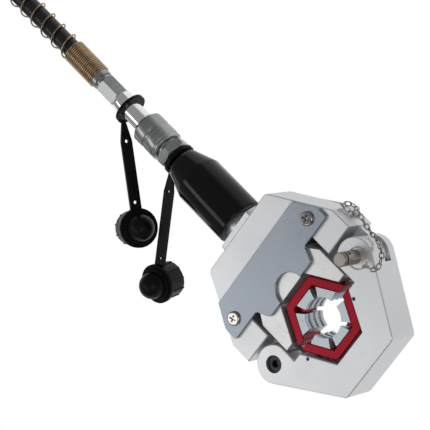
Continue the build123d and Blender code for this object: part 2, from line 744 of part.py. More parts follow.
# ---------------------------------------------------------------- quick coupler
tube_bore = nipple_radius + fit_gap
with BuildPart() as coupler_body:
    with BuildSketch(Plane.YZ.offset(coupler_hex_back_x)):
        RegularPolygon(coupler_hex_af / math.sqrt(3), 6, rotation=12)
    extrude(amount=coupler_hex_front_x - coupler_hex_back_x)
    hex_body = turned([
        (coupler_hex_front_x, 0), (coupler_hex_front_x, coupler_hex_af / 2),
        (coupler_hex_front_x - 2, coupler_hex_af / math.sqrt(3)),
        (coupler_hex_back_x + 2, coupler_hex_af / math.sqrt(3)),
        (coupler_hex_back_x, coupler_hex_af / 2), (coupler_hex_back_x, 0),
    ])
    add(hex_body, mode=Mode.INTERSECT)
    with BuildSketch(Plane.YZ.offset(coupler_hex_back_x)):
        Circle(coupler_tube_radius)
    extrude(amount=coupler_tube_back_x - coupler_hex_back_x)
    with BuildSketch(Plane.YZ.offset(coupler_tube_back_x)):
        Circle(tube_bore)
    extrude(amount=coupler_socket_x - coupler_tube_back_x, mode=Mode.SUBTRACT)
    with BuildSketch(Plane.YZ.offset(coupler_socket_x)):
        Circle(passage_radius)
    extrude(amount=coupler_hex_front_x - coupler_socket_x, mode=Mode.SUBTRACT)
keep(coupler_body.part, "coupler_body")

sleeve_inner = sleeve_radius - sleeve_wall
mouth_radius = nipple_radius + running_gap
keep(turned([
    (sleeve_front_x, sleeve_inner), (sleeve_front_x, sleeve_radius - 1.4),
    (sleeve_front_x - 1, sleeve_radius),
    (sleeve_lip_x, sleeve_radius), (sleeve_lip_x, sleeve_radius - sleeve_groove_depth / 2),
    (sleeve_lip_x - sleeve_lip_width, sleeve_radius - sleeve_groove_depth / 2),
    (sleeve_lip_x - sleeve_lip_width, sleeve_radius),
    (sleeve_groove_x + sleeve_groove_width / 2, sleeve_radius),
    (sleeve_groove_x + sleeve_groove_width / 4, sleeve_radius - sleeve_groove_depth),
    (sleeve_groove_x - sleeve_groove_width / 4, sleeve_radius - sleeve_groove_depth),
    (sleeve_groove_x - sleeve_groove_width / 2, sleeve_radius),
    (sleeve_back_x + 3, sleeve_radius), (sleeve_back_x, sleeve_radius - 3),
    (sleeve_back_x, mouth_radius), (sleeve_back_x + 1.6, mouth_radius),
    (sleeve_back_x + 1.6, sleeve_inner),
]), "coupler_sleeve")

keep(turned([
    (coupler_socket_x, passage_radius), (coupler_socket_x, nipple_radius - 1),
    (coupler_socket_x - 1, nipple_radius), (nipple_back_x, nipple_radius),
    (nipple_back_x, collar_radius - 0.6), (nipple_back_x - 0.6, collar_radius),
    (collar_back_x, collar_radius), (collar_back_x, passage_radius),
]), "coupler_nipple")

with BuildPart() as swivel_nut:
    with BuildSketch(Plane.YZ.offset(swivel_back_x)):
        RegularPolygon(swivel_af / math.sqrt(3), 6, rotation=4)
    extrude(amount=collar_back_x - swivel_back_x)
    add(turned([
        (swivel_back_x, 0), (swivel_back_x, swivel_af / 2),
        (swivel_back_x + 1.6, swivel_af / math.sqrt(3)), (collar_back_x - 1.6, swivel_af / math.sqrt(3)),
        (collar_back_x, swivel_af / 2), (collar_back_x, 0),
    ]), mode=Mode.INTERSECT)
    with BuildSketch(Plane.YZ.offset(swivel_back_x)):
        Circle(passage_radius)
    extrude(amount=collar_back_x - swivel_back_x, mode=Mode.SUBTRACT)
keep(swivel_nut.part, "swivel_nut")


# ---------------------------------------------------------------- dust caps
def dust_cap(ring_x, ring_bore, centre, normal):
    """One rubber moulding: the ring round the coupling, its strap, and the cap."""
    normal = normal.normalized()
    rim = Vector(ring_x, -(cap_ring_radius - strap_thickness), 0)
    towards = (centre + normal * (cap_flange_width / 2) - rim).normalized()
    wide = normal.cross(towards).normalized()
    reach = (centre - rim).length - cap_skirt_radius
    with BuildPart() as cap:
        radial = Plane(centre, x_dir=towards - normal * towards.dot(normal), z_dir=-wide)
        if (radial.y_dir - normal).length > 1:
            radial = Plane(centre, x_dir=radial.x_dir, z_dir=wide)
        with BuildSketch(radial):
            with BuildLine():
                step_top = cap_flange_width + cap_step_width
                knob_foot = step_top + cap_knob_rise
                top = knob_foot + cap_knob_radius
                lead = Polyline(
                    (0, -cap_roof), (cap_skirt_radius - cap_wall, -cap_roof),
                    (cap_skirt_radius - cap_wall, -cap_skirt_length), (cap_skirt_radius, -cap_skirt_length),
                    (cap_skirt_radius, 0), (cap_flange_radius, 0), (cap_flange_radius, cap_flange_width),
                    (cap_step_radius, cap_flange_width), (cap_step_radius, step_top),
                    (cap_knob_radius, step_top), (cap_knob_radius, knob_foot))
                RadiusArc(lead @ 1, (0, top), -cap_knob_radius)
                Line((0, top), (0, -cap_roof))
            make_face()
        revolve(axis=Axis(centre, normal))
        # gripping ribs round the skirt
        skirt = Plane(centre - normal * cap_skirt_length, x_dir=towards, z_dir=normal)
        with BuildSketch(skirt):
            with PolarLocations(cap_skirt_radius, rib_count):
                Circle(rib_radius)
        extrude(amount=cap_skirt_length)
        with BuildSketch(skirt):
            Circle(cap_skirt_radius - cap_wall)
        extrude(amount=cap_skirt_length - cap_roof, mode=Mode.SUBTRACT)
        # strap, with a small hole near each end
        strap = Plane(rim, x_dir=towards, z_dir=towards.cross(wide))
        with BuildSketch(strap.offset(-strap_thickness / 2)):
            with BuildLine():
                Polyline((0, -strap_root / 2), (strap_taper, -strap_width / 2), (reach, -strap_width / 2),
                         (reach, strap_width / 2), (strap_taper, strap_width / 2), (0, strap_root / 2),
                         close=True)
            make_face()
        extrude(amount=strap_thickness)
        with BuildSketch(strap.offset(-strap_thickness)):
            with Locations((strap_taper, 0), (reach - strap_width * 0.7, 0)):
                Circle(strap_hole_radius)
        extrude(amount=2 * strap_thickness, mode=Mode.SUBTRACT)
        with BuildSketch(Plane.YZ.offset(ring_x - cap_ring_width / 2)):
            Circle(cap_ring_radius)
        extrude(amount=cap_ring_width)
        with BuildSketch(Plane.YZ.offset(ring_x - 2 * strap_width)):
            Circle(ring_bore)
        extrude(amount=4 * strap_width, mode=Mode.SUBTRACT)
    return cap.part


keep(dust_cap(ring_1_x, nipple_radius + cap_ring_gap, cap_1_centre, cap_1_normal), "dust_cap_hose_side")
keep(dust_cap(ring_2_x, cylinder_neck_radius + cap_ring_gap, cap_2_centre, cap_2_normal),
     "dust_cap_head_side")

# ---------------------------------------------------------------- hose end and hose
ferrule_profile = [(swivel_back_x, passage_radius), (swivel_back_x, stem_radius),
                   (ferrule_front_x, stem_radius), (ferrule_front_x, ferrule_radius)]
ferrule_profile += [(ferrule_back_x, ferrule_radius), (ferrule_back_x, passage_radius)]
keep(turned(ferrule_profile), "hose_ferrule")

guard_outline = [(guard_front_x, ferrule_radius)]
wire_count = int((guard_front_x - guard_back_x) / guard_wire)
for turn in range(wire_count):
    crest_x = guard_front_x - turn * guard_wire
    guard_outline += [(crest_x, guard_radius - guard_wire / 4), (crest_x - guard_wire / 2, guard_radius)]
guard_outline += [(guard_front_x - wire_count * guard_wire, guard_radius - guard_wire / 4),
                  (guard_front_x - wire_count * guard_wire, ferrule_radius)]
with BuildPart() as open_spring:
    with BuildLine() as open_coils:
        Helix(pitch=open_spring_pitch, height=open_spring_turns * open_spring_pitch,
              radius=open_spring_radius)
    with BuildSketch(Plane(open_coils.line @ 0, z_dir=open_coils.line % 0)):
        RegularPolygon(open_spring_wire, 6)
    sweep(is_frenet=True)
guard_end_x = guard_front_x - wire_count * guard_wire
open_spring_start = Plane(Vector(guard_end_x + open_spring_wire, 0, 0), z_dir=Vector(-1, 0, 0))
with BuildPart() as spring_guard:
    add(turned(guard_outline))
    add(open_spring.part.moved(open_spring_start.location))
keep(spring_guard.part, "hose_spring_guard")

hose_route = [
    (ferrule_back_x, 0, 0), (hose_level_x, 0, 0),
    (hose_landing_x, 0, hose_floor_z), (coil_x, 0, hose_floor_z),
]


def bend_radii(route):
    """Largest arc that each corner's two runs leave room for."""
    points = [Vector(*point) for point in route]
    radii = []
    for before, corner, after in zip(points, points[1:], points[2:]):
        run_in = corner - before
        run_out = after - corner
        half_turn = math.radians(run_in.get_angle(run_out)) / 2
        radii.append(0.45 * min(run_in.length, run_out.length) / math.tan(half_turn))
    return radii


def hose_tube(route, name):
    """Plain tube along straight runs joined by tangent arcs."""
    radii = bend_radii(route)
    with BuildPart() as tube:
        with BuildLine() as path:
            if radii:
                FilletPolyline(*route, radius=radii)
            else:
                Polyline(*route)
        start = path.wires()[0]
        with BuildSketch(Plane(start @ 0, z_dir=start % 0)):
            Circle(hose_radius)
        sweep()
    section = math.pi * hose_radius ** 2
    print(name, "bend radii", [round(radius) for radius in radii],
          "volume over section x length", round(tube.part.volume / (section * start.length), 4))
    keep(tube.part, name)


hose_tube(hose_route, "hose")

# the length put away: a flat spiral of turns lying side by side on the surface
coil_outer = coil_mean_radius + coil_turns * hose_radius
coil_inner = coil_mean_radius - coil_turns * hose_radius
with BuildPart() as hose_coil:
    with BuildSketch(Plane.XY.offset(floor_z)):
        with Locations((coil_x, coil_y)):
            Circle(coil_outer)
            Circle(coil_inner, mode=Mode.SUBTRACT)
    extrude(amount=2 * hose_radius)
    chamfer(hose_coil.edges(), hose_radius * 0.4)
keep(hose_coil.part, "hose_coil")

# the last stretch climbs from the inner turn onto the coil, and the pump's fitting points outwards
lying_on_coil = 2 * hose_radius + tail_clearance
fitting_on_coil = hose_radius + end_fitting_af / 2 + tail_clearance
tail_stations = [              # angle round the coil, offset from its mean radius, height gained
    (0, -hose_radius, 0), (28, -3.1, 4.8), (56, 2, 13.8), (84, 3, lying_on_coil),
    (112, 2, lying_on_coil), (135, 8, fitting_on_coil),
]
tail_route = []
for angle, offset, height in tail_stations:
    arm = Vector(coil_mean_radius + offset, 0, 0).rotate(Axis.Z, angle)
    tail_route.append((coil_x + arm.X, coil_y + arm.Y, hose_floor_z + height))
hose_tube(tail_route, "hose_tail")

tail_end = Vector(*tail_route[-1])
fitting_axis = (tail_end - Vector(*tail_route[-2])).normalized()
flat_down = Vector(0, 0, -1)


def along_fitting(distance):
    """Cross section of the end fitting, with a flat of the hexagon facing down."""
    return Plane(tail_end + fitting_axis * distance, x_dir=fitting_axis.cross(flat_down), z_dir=fitting_axis)


with BuildPart() as end_fitting:
    with BuildSketch(along_fitting(0)):
        Circle(end_shell_radius)
    extrude(amount=end_shell_length)
    with BuildSketch(along_fitting(end_shell_length)):
        RegularPolygon(end_fitting_af / 2, 6, major_radius=False, rotation=30)
    extrude(amount=end_hex_length)
    with BuildSketch(along_fitting(end_shell_length + end_hex_length)):
        Circle(end_thread_radius)
    extrude(amount=end_thread_length)
    fitting_length = end_shell_length + end_hex_length + end_thread_length
    with BuildSketch(along_fitting(fitting_length)):
        Circle(passage_radius)
    extrude(amount=-end_thread_length - end_hex_length, mode=Mode.SUBTRACT)
keep(end_fitting.part, "hose_end_fitting")

for solid in parts:
    export_step(solid, f"parts/{solid.label}.step")
print(len(parts), "nodes")
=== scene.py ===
"""Studio scene of a hydraulic hose crimping head with its coupling, dust caps and hose."""

import json
import logging
import math
from dataclasses import dataclass, field
from enum import Enum
from typing import Iterable, Sequence

import bmesh
import bpy
from mathutils import Matrix, Vector


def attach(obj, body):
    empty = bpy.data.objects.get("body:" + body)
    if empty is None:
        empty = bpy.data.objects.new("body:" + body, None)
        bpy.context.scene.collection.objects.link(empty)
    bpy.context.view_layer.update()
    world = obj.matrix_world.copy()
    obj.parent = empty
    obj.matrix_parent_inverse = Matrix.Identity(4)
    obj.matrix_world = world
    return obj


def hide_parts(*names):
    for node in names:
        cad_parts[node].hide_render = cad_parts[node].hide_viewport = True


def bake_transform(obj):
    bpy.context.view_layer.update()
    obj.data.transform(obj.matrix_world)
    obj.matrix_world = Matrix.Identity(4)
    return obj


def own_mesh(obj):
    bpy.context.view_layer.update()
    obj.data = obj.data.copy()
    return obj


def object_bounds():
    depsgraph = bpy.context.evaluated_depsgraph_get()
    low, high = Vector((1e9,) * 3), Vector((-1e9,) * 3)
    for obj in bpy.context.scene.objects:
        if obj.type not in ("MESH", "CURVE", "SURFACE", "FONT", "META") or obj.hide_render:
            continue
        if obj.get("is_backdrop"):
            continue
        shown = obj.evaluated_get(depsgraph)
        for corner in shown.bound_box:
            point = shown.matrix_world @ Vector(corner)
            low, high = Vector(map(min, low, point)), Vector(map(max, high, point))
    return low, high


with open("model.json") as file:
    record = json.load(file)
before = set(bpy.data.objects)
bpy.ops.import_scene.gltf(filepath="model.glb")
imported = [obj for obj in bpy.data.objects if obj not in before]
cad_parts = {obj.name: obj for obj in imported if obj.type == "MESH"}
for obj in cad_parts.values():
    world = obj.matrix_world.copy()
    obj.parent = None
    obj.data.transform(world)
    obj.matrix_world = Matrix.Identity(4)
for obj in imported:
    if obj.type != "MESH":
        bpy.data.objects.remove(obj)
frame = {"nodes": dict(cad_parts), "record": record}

LOG = logging.getLogger("crimping_head")
MM = 0.001

Rgb = tuple[float, float, float]
Place = tuple[float, float, float]


# ------------------------------------------------------------------ finishes

class Slot(Enum):
    """The material slots of the object."""

    SATIN = "satin_steel"
    COVER = "cover_steel"
    BRIGHT = "bright_steel"
    PUSHER = "pusher_steel"
    DARK = "dark_steel"
    PIN = "pin_steel"
    BRONZE = "bronze"
    RED = "die_red"
    JAW = "jaw_steel"
    BLACK = "cylinder_black"
    ZINC = "zinc"
    CHROME = "chrome"
    BRASS = "spring_brass"
    RUBBER = "rubber_black"
    HOSE = "hose_rubber"


class NodeBench:
    """Places and wires the nodes of one shader tree."""

    # Sockets of a colour mix, which share their names with those of the other kinds.
    MIX_FACTOR = 0
    MIX_FIRST = 6
    MIX_SECOND = 7
    MIX_RESULT = 2

    def __init__(self, tree: bpy.types.NodeTree) -> None:
        """Work on the given node tree."""
        self.tree = tree

    def add(self, kind: str, **values: object) -> bpy.types.Node:
        """Add a node.

        Args:
            kind: The node's type name.
            values: Its settings, or defaults of its inputs by name with _ for a space.

        Returns:
            The new node.
        """
        node = self.tree.nodes.new(kind)
        for name, value in values.items():
            if hasattr(node, name):
                setattr(node, name, value)
            else:
                node.inputs[name.replace("_", " ")].default_value = value
        return node

    def wire(self, source: bpy.types.NodeSocket, target: bpy.types.NodeSocket) -> None:
        """Connect two sockets."""
        self.tree.links.new(source, target)


class SharedEffects:
    """The node groups that every finish draws from."""

    # Ends of the range that counts: of two noises added, of the rubbed patches, and of the streaks in them.
    NOISE_SUM = (0.7, 1.3)
    PATCH_CUT = (0.56, 0.68)
    STREAK_CUT = (0.5, 0.62)

    @staticmethod
    def _open(name: str, inputs: Sequence[tuple[str, str]],
              outputs: Sequence[tuple[str, str]]) -> tuple[bpy.types.NodeTree, NodeBench]:
        """Start a node group with its sockets.

        Args:
            name: The group's name.
            inputs: Name and type of each input.
            outputs: Name and type of each output.

        Returns:
            The group's tree, and a bench for it.
        """
        tree = bpy.data.node_groups.new(name, "ShaderNodeTree")
        for label, kind in inputs:
            tree.interface.new_socket(label, in_out="INPUT", socket_type=kind)
        for label, kind in outputs:
            tree.interface.new_socket(label, in_out="OUTPUT", socket_type=kind)
        return tree, NodeBench(tree)

    @classmethod
    def grain(cls) -> bpy.types.NodeTree:
        """Fine grain over soft clouds, as a colour, a roughness and a height.

        Returns:
            The node group.
        """
        known = bpy.data.node_groups.get("metal_grain")
        if known:
            return known
        tree, bench = cls._open(
            "metal_grain",
            [("Vector", "NodeSocketVector"), ("Stretch", "NodeSocketVector"), ("Scale", "NodeSocketFloat"),
             ("Cloud Scale", "NodeSocketFloat"), ("Low", "NodeSocketColor"), ("High", "NodeSocketColor"),
             ("Smooth", "NodeSocketFloat"), ("Rough", "NodeSocketFloat")],
            [("Color", "NodeSocketColor"), ("Roughness", "NodeSocketFloat"), ("Height", "NodeSocketFloat")])
        given = bench.add("NodeGroupInput")
        result = bench.add("NodeGroupOutput")
        stretched = bench.add("ShaderNodeVectorMath", operation="MULTIPLY")
        fine = bench.add("ShaderNodeTexNoise", Detail=3.0)
        cloud = bench.add("ShaderNodeTexNoise", Detail=2.0)
        both = bench.add("ShaderNodeMath", operation="ADD")
        spread = bench.add("ShaderNodeMapRange", From_Min=cls.NOISE_SUM[0], From_Max=cls.NOISE_SUM[1])
        colour = bench.add("ShaderNodeMix", data_type="RGBA")
        gloss = bench.add("ShaderNodeMapRange", From_Min=cls.NOISE_SUM[0], From_Max=cls.NOISE_SUM[1])
        bench.wire(given.outputs["Vector"], stretched.inputs[0])
        bench.wire(given.outputs["Stretch"], stretched.inputs[1])
        bench.wire(stretched.outputs[0], fine.inputs["Vector"])
        bench.wire(given.outputs["Scale"], fine.inputs["Scale"])
        bench.wire(given.outputs["Vector"], cloud.inputs["Vector"])
        bench.wire(given.outputs["Cloud Scale"], cloud.inputs["Scale"])
        bench.wire(fine.outputs[0], both.inputs[0])
        bench.wire(cloud.outputs[0], both.inputs[1])
        bench.wire(both.outputs[0], spread.inputs["Value"])
        bench.wire(spread.outputs[0], colour.inputs[NodeBench.MIX_FACTOR])
        bench.wire(given.outputs["Low"], colour.inputs[NodeBench.MIX_FIRST])
        bench.wire(given.outputs["High"], colour.inputs[NodeBench.MIX_SECOND])
        bench.wire(both.outputs[0], gloss.inputs["Value"])
        bench.wire(given.outputs["Smooth"], gloss.inputs["To Min"])
        bench.wire(given.outputs["Rough"], gloss.inputs["To Max"])
        bench.wire(colour.outputs[NodeBench.MIX_RESULT], result.inputs["Color"])
        bench.wire(gloss.outputs[0], result.inputs["Roughness"])
        bench.wire(fine.outputs[0], result.inputs["Height"])
        return tree

    @classmethod
    def scuffs(cls) -> bpy.types.NodeTree:
        """Sparse rubbed spots and short scratches, as a mask.

        Returns:
            The node group.
        """
        known = bpy.data.node_groups.get("scuffs")
        if known:
            return known
        tree, bench = cls._open(
            "scuffs",
            [("Vector", "NodeSocketVector"), ("Scale", "NodeSocketFloat"), ("Amount", "NodeSocketFloat")],
            [("Mask", "NodeSocketFloat")])
        given = bench.add("NodeGroupInput")
        result = bench.add("NodeGroupOutput")
        patch = bench.add("ShaderNodeTexNoise", Detail=5.0, Roughness=0.7)
        streak = bench.add("ShaderNodeTexNoise", Detail=2.0, Distortion=1.5)
        cut = bench.add("ShaderNodeMapRange", From_Min=cls.PATCH_CUT[0], From_Max=cls.PATCH_CUT[1])
        cut_streak = bench.add("ShaderNodeMapRange", From_Min=cls.STREAK_CUT[0], From_Max=cls.STREAK_CUT[1])
        product = bench.add("ShaderNodeMath", operation="MULTIPLY")
        scaled = bench.add("ShaderNodeMath", operation="MULTIPLY")
        bench.wire(given.outputs["Vector"], patch.inputs["Vector"])
        bench.wire(given.outputs["Scale"], patch.inputs["Scale"])
        bench.wire(given.outputs["Vector"], streak.inputs["Vector"])
        bench.wire(given.outputs["Scale"], streak.inputs["Scale"])
        bench.wire(patch.outputs[0], cut.inputs["Value"])
        bench.wire(streak.outputs[0], cut_streak.inputs["Value"])
        bench.wire(cut.outputs[0], product.inputs[0])
        bench.wire(cut_streak.outputs[0], product.inputs[1])
        bench.wire(product.outputs[0], scaled.inputs[0])
        bench.wire(given.outputs["Amount"], scaled.inputs[1])
        bench.wire(scaled.outputs[0], result.inputs["Mask"])
        return tree


@dataclass(frozen=True)
class Finish:
    """Colour, gloss and grain of one material slot.

    Low and high are the ends of its colour, gloss the ends of its roughness, and relief the grain's height.
    """

    slot: Slot
    low: Rgb
    high: Rgb
    gloss: tuple[float, float]
    metallic: float = 1.0
    grain: float = 900.0
    cloud: float = 28.0
    stretch: Rgb = (1.0, 1.0, 1.0)
    relief: float = 0.0
    scuff: float = 0.0
    scuff_scale: float = 110.0
    scuff_colour: Rgb = (0.5, 0.5, 0.5)
    shine: float = 0.5

    def material(self) -> bpy.types.Material:
        """Build the material, or find it where it is built.

        Returns:
            The material, named after its slot.
        """
        known = bpy.data.materials.get("finish_" + self.slot.value)
        if known:
            return known
        made = bpy.data.materials.new("finish_" + self.slot.value)
        made.use_nodes = True
        bench = NodeBench(made.node_tree)
        shader = made.node_tree.nodes["Principled BSDF"]
        shader.inputs["Metallic"].default_value = self.metallic
        shader.inputs["Specular IOR Level"].default_value = self.shine
        place = bench.add("ShaderNodeTexCoord")
        grain = bench.add("ShaderNodeGroup", node_tree=SharedEffects.grain())
        bench.wire(place.outputs["Object"], grain.inputs["Vector"])
        for name, value in (("Stretch", self.stretch), ("Scale", self.grain), ("Cloud Scale", self.cloud),
                            ("Low", (*self.low, 1)), ("High", (*self.high, 1)),
                            ("Smooth", self.gloss[0]), ("Rough", self.gloss[1])):
            grain.inputs[name].default_value = value
        colour = grain.outputs["Color"]
        if self.scuff:
            worn = bench.add("ShaderNodeGroup", node_tree=SharedEffects.scuffs())
            worn.inputs["Scale"].default_value = self.scuff_scale
            worn.inputs["Amount"].default_value = self.scuff
            bench.wire(place.outputs["Object"], worn.inputs["Vector"])
            rubbed = bench.add("ShaderNodeMix", data_type="RGBA")
            rubbed.inputs[NodeBench.MIX_SECOND].default_value = (*self.scuff_colour, 1)
            bench.wire(worn.outputs["Mask"], rubbed.inputs[NodeBench.MIX_FACTOR])
            bench.wire(colour, rubbed.inputs[NodeBench.MIX_FIRST])
            colour = rubbed.outputs[NodeBench.MIX_RESULT]
        bench.wire(colour, shader.inputs["Base Color"])
        bench.wire(grain.outputs["Roughness"], shader.inputs["Roughness"])
        if self.relief:
            bump = bench.add("ShaderNodeBump", Strength=1.0, Distance=self.relief)
            bench.wire(grain.outputs["Height"], bump.inputs["Height"])
            bench.wire(bump.outputs[0], shader.inputs["Normal"])
        return made


# Stretches of the grain: milled along X, and turned about X.
ACROSS_X = (0.06, 1.0, 1.0)
TURNED = (1.0, 0.02, 0.02)

FINISHES = {finish.slot: finish for finish in (
    Finish(Slot.SATIN, (0.585, 0.595, 0.61), (0.65, 0.66, 0.675), (0.36, 0.46), 0.85, relief=0.00001,
           scuff=0.25),
    Finish(Slot.COVER, (0.22, 0.25, 0.285), (0.315, 0.345, 0.38), (0.28, 0.42), 0.85, grain=500.0,
           cloud=34.0, relief=0.000002, scuff=0.12, scuff_colour=(0.36, 0.39, 0.43)),
    Finish(Slot.BRIGHT, (0.2, 0.19, 0.18), (0.5, 0.48, 0.46), (0.1, 0.22), grain=420.0),
    Finish(Slot.PUSHER, (0.58, 0.58, 0.585), (0.68, 0.68, 0.68), (0.32, 0.48), 0.85, stretch=ACROSS_X,
           relief=0.000015, scuff=0.4, scuff_colour=(0.42, 0.42, 0.43)),
    Finish(Slot.DARK, (0.018, 0.018, 0.02), (0.05, 0.05, 0.052), (0.26, 0.4), relief=0.00001),
    Finish(Slot.PIN, (0.12, 0.1, 0.085), (0.34, 0.305, 0.275), (0.2, 0.36), stretch=(1.0, 1.0, 0.08),
           relief=0.00001, scuff=0.6, scuff_colour=(0.1, 0.07, 0.05)),
    Finish(Slot.BRONZE, (0.42, 0.27, 0.12), (0.56, 0.38, 0.19), (0.3, 0.45)),
    Finish(Slot.RED, (0.19, 0.004, 0.012), (0.26, 0.007, 0.018), (0.22, 0.36), 0.7, relief=0.00001, scuff=0.5,
           scuff_colour=(0.14, 0.005, 0.012), shine=0.25),
    Finish(Slot.JAW, (0.4, 0.45, 0.49), (0.56, 0.6, 0.64), (0.34, 0.5), 0.75, grain=500.0, relief=0.00003,
           scuff=0.6, scuff_colour=(0.34, 0.36, 0.38)),
    Finish(Slot.BLACK, (0.0015, 0.0015, 0.002), (0.003, 0.003, 0.0035), (0.12, 0.18), 0.0, relief=0.000004,
           scuff=0.2, scuff_colour=(0.01, 0.01, 0.01), shine=0.2),
    Finish(Slot.ZINC, (0.23, 0.245, 0.24), (0.38, 0.395, 0.38), (0.24, 0.38), stretch=TURNED, relief=0.000008,
           scuff=0.4, scuff_colour=(0.2, 0.2, 0.19)),
    Finish(Slot.CHROME, (0.72, 0.72, 0.73), (0.8, 0.8, 0.81), (0.05, 0.12), stretch=TURNED),
    Finish(Slot.BRASS, (0.22, 0.14, 0.07), (0.42, 0.3, 0.18), (0.2, 0.34), grain=200.0),
    Finish(Slot.RUBBER, (0.003, 0.003, 0.003), (0.006, 0.006, 0.006), (0.3, 0.46), 0.0, relief=0.00001,
           shine=0.1),
    Finish(Slot.HOSE, (0.004, 0.004, 0.0045), (0.009, 0.009, 0.0095), (0.26, 0.38), 0.0, grain=600.0,
           relief=0.00003, shine=0.35),
)}


# ------------------------------------------------------------------ pieces

class Fitter:
    """Puts finished meshes and dressed parts in place."""

    WELD_REACH = 0.000002
    EDGE_STEPS = 2
    SHARP_ANGLE = math.radians(28)

    @staticmethod
    def piece(name: str, shape: bmesh.types.BMesh, slot: Slot, replaced: Iterable[str] = (),
              body: str | None = None) -> bpy.types.Object:
        """Turn a bmesh into a smooth piece of the object.

        Args:
            name: The piece's name.
            shape: Its form, freed here.
            slot: Its material slot.
            replaced: The parts that it stands for.
            body: The body that it rides on, or None where it bends between two.

        Returns:
            The new object.
        """
        bmesh.ops.recalc_face_normals(shape, faces=shape.faces)
        for face in shape.faces:
            face.smooth = True
        mesh = bpy.data.meshes.new(name)
        shape.to_mesh(mesh)
        shape.free()
        mesh.materials.append(FINISHES[slot].material())
        made = bpy.data.objects.new(name, mesh)
        bpy.context.scene.collection.objects.link(made)
        if replaced:
            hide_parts(*replaced)
        if body:
            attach(made, body)
        LOG.info("piece %s: %d faces", name, len(mesh.polygons))
        return made

    @staticmethod
    def dress(node: str, slot: Slot, edge: float = 0.0) -> None:
        """Give a part its material and, where edge is set, softly rounded edges.

        Args:
            node: The part's name.
            slot: Its material slot.
            edge: Width of the rounding in metres.
        """
        part = frame["nodes"][node]
        part.data.materials.clear()
        part.data.materials.append(FINISHES[slot].material())
        if edge:
            weld = part.modifiers.new("weld", "WELD")
            weld.merge_threshold = Fitter.WELD_REACH
            bevel = part.modifiers.new("soft_edges", "BEVEL")
            bevel.width = edge
            bevel.segments = Fitter.EDGE_STEPS
            bevel.limit_method = "ANGLE"
            bevel.angle_limit = Fitter.SHARP_ANGLE
            bevel.harden_normals = True
            bevel.use_clamp_overlap = True


def coil(shape: bmesh.types.BMesh, start: Vector, axis: Vector, radius: float, wire: float, turns: float,
         pitch: float, steps: int = 28, sides: int = 8) -> None:
    """Wind a round wire about an axis.

    Args:
        shape: The bmesh that the wire is added to.
        start: Centre of the first turn.
        axis: Direction in which the coil grows; the wire turns right-handed about it.
        radius: Radius of the wire's centre line.
        wire: Radius of the wire.
        turns: Number of turns.
        pitch: Growth per turn.
        steps: Divisions of a turn.
        sides: Sides of the wire's section.
    """
    aside = axis.orthogonal().normalized()
    ring = bmesh.ops.create_circle(shape, cap_ends=False, segments=sides, radius=wire)["verts"]
    turn = Matrix((aside, axis, aside.cross(axis))).transposed()
    bmesh.ops.transform(shape, matrix=Matrix.Translation(start + aside * radius) @ turn.to_4x4(), verts=ring)
    edges = list({edge for vert in ring for edge in vert.link_edges})
    count = round(steps * turns)
    bmesh.ops.spin(shape, geom=ring + edges, cent=start, axis=axis, dvec=axis * (pitch / steps),
                   angle=2 * math.pi * turns, steps=count, use_merge=False, use_normal_flip=False,
                   use_duplicate=False)
    open_edges = [edge for edge in shape.edges if edge.is_boundary]
    bmesh.ops.holes_fill(shape, edges=open_edges, sides=sides)


def smooth_path(points: Sequence[Place], per_span: int = 12) -> list[Vector]:
    """Points of a smooth line through the given ones.

    Args:
        points: The places that the line passes, in millimetres.
        per_span: Divisions between two of them.

    Returns:
        The line's points in metres.
    """
    held = [Vector(point) * MM for point in points]
    held = [2 * held[0] - held[1], *held, 2 * held[-1] - held[-2]]
    line: list[Vector] = []
    for before, start, end, after in zip(held, held[1:], held[2:], held[3:]):
        for step in range(per_span):
            t = step / per_span
            line.append(0.5 * (2 * start + (end - before) * t
                               + (2 * before - 5 * start + 4 * end - after) * t * t
                               + (3 * start - before - 3 * end + after) * t ** 3))
    line.append(held[-2])
    return line


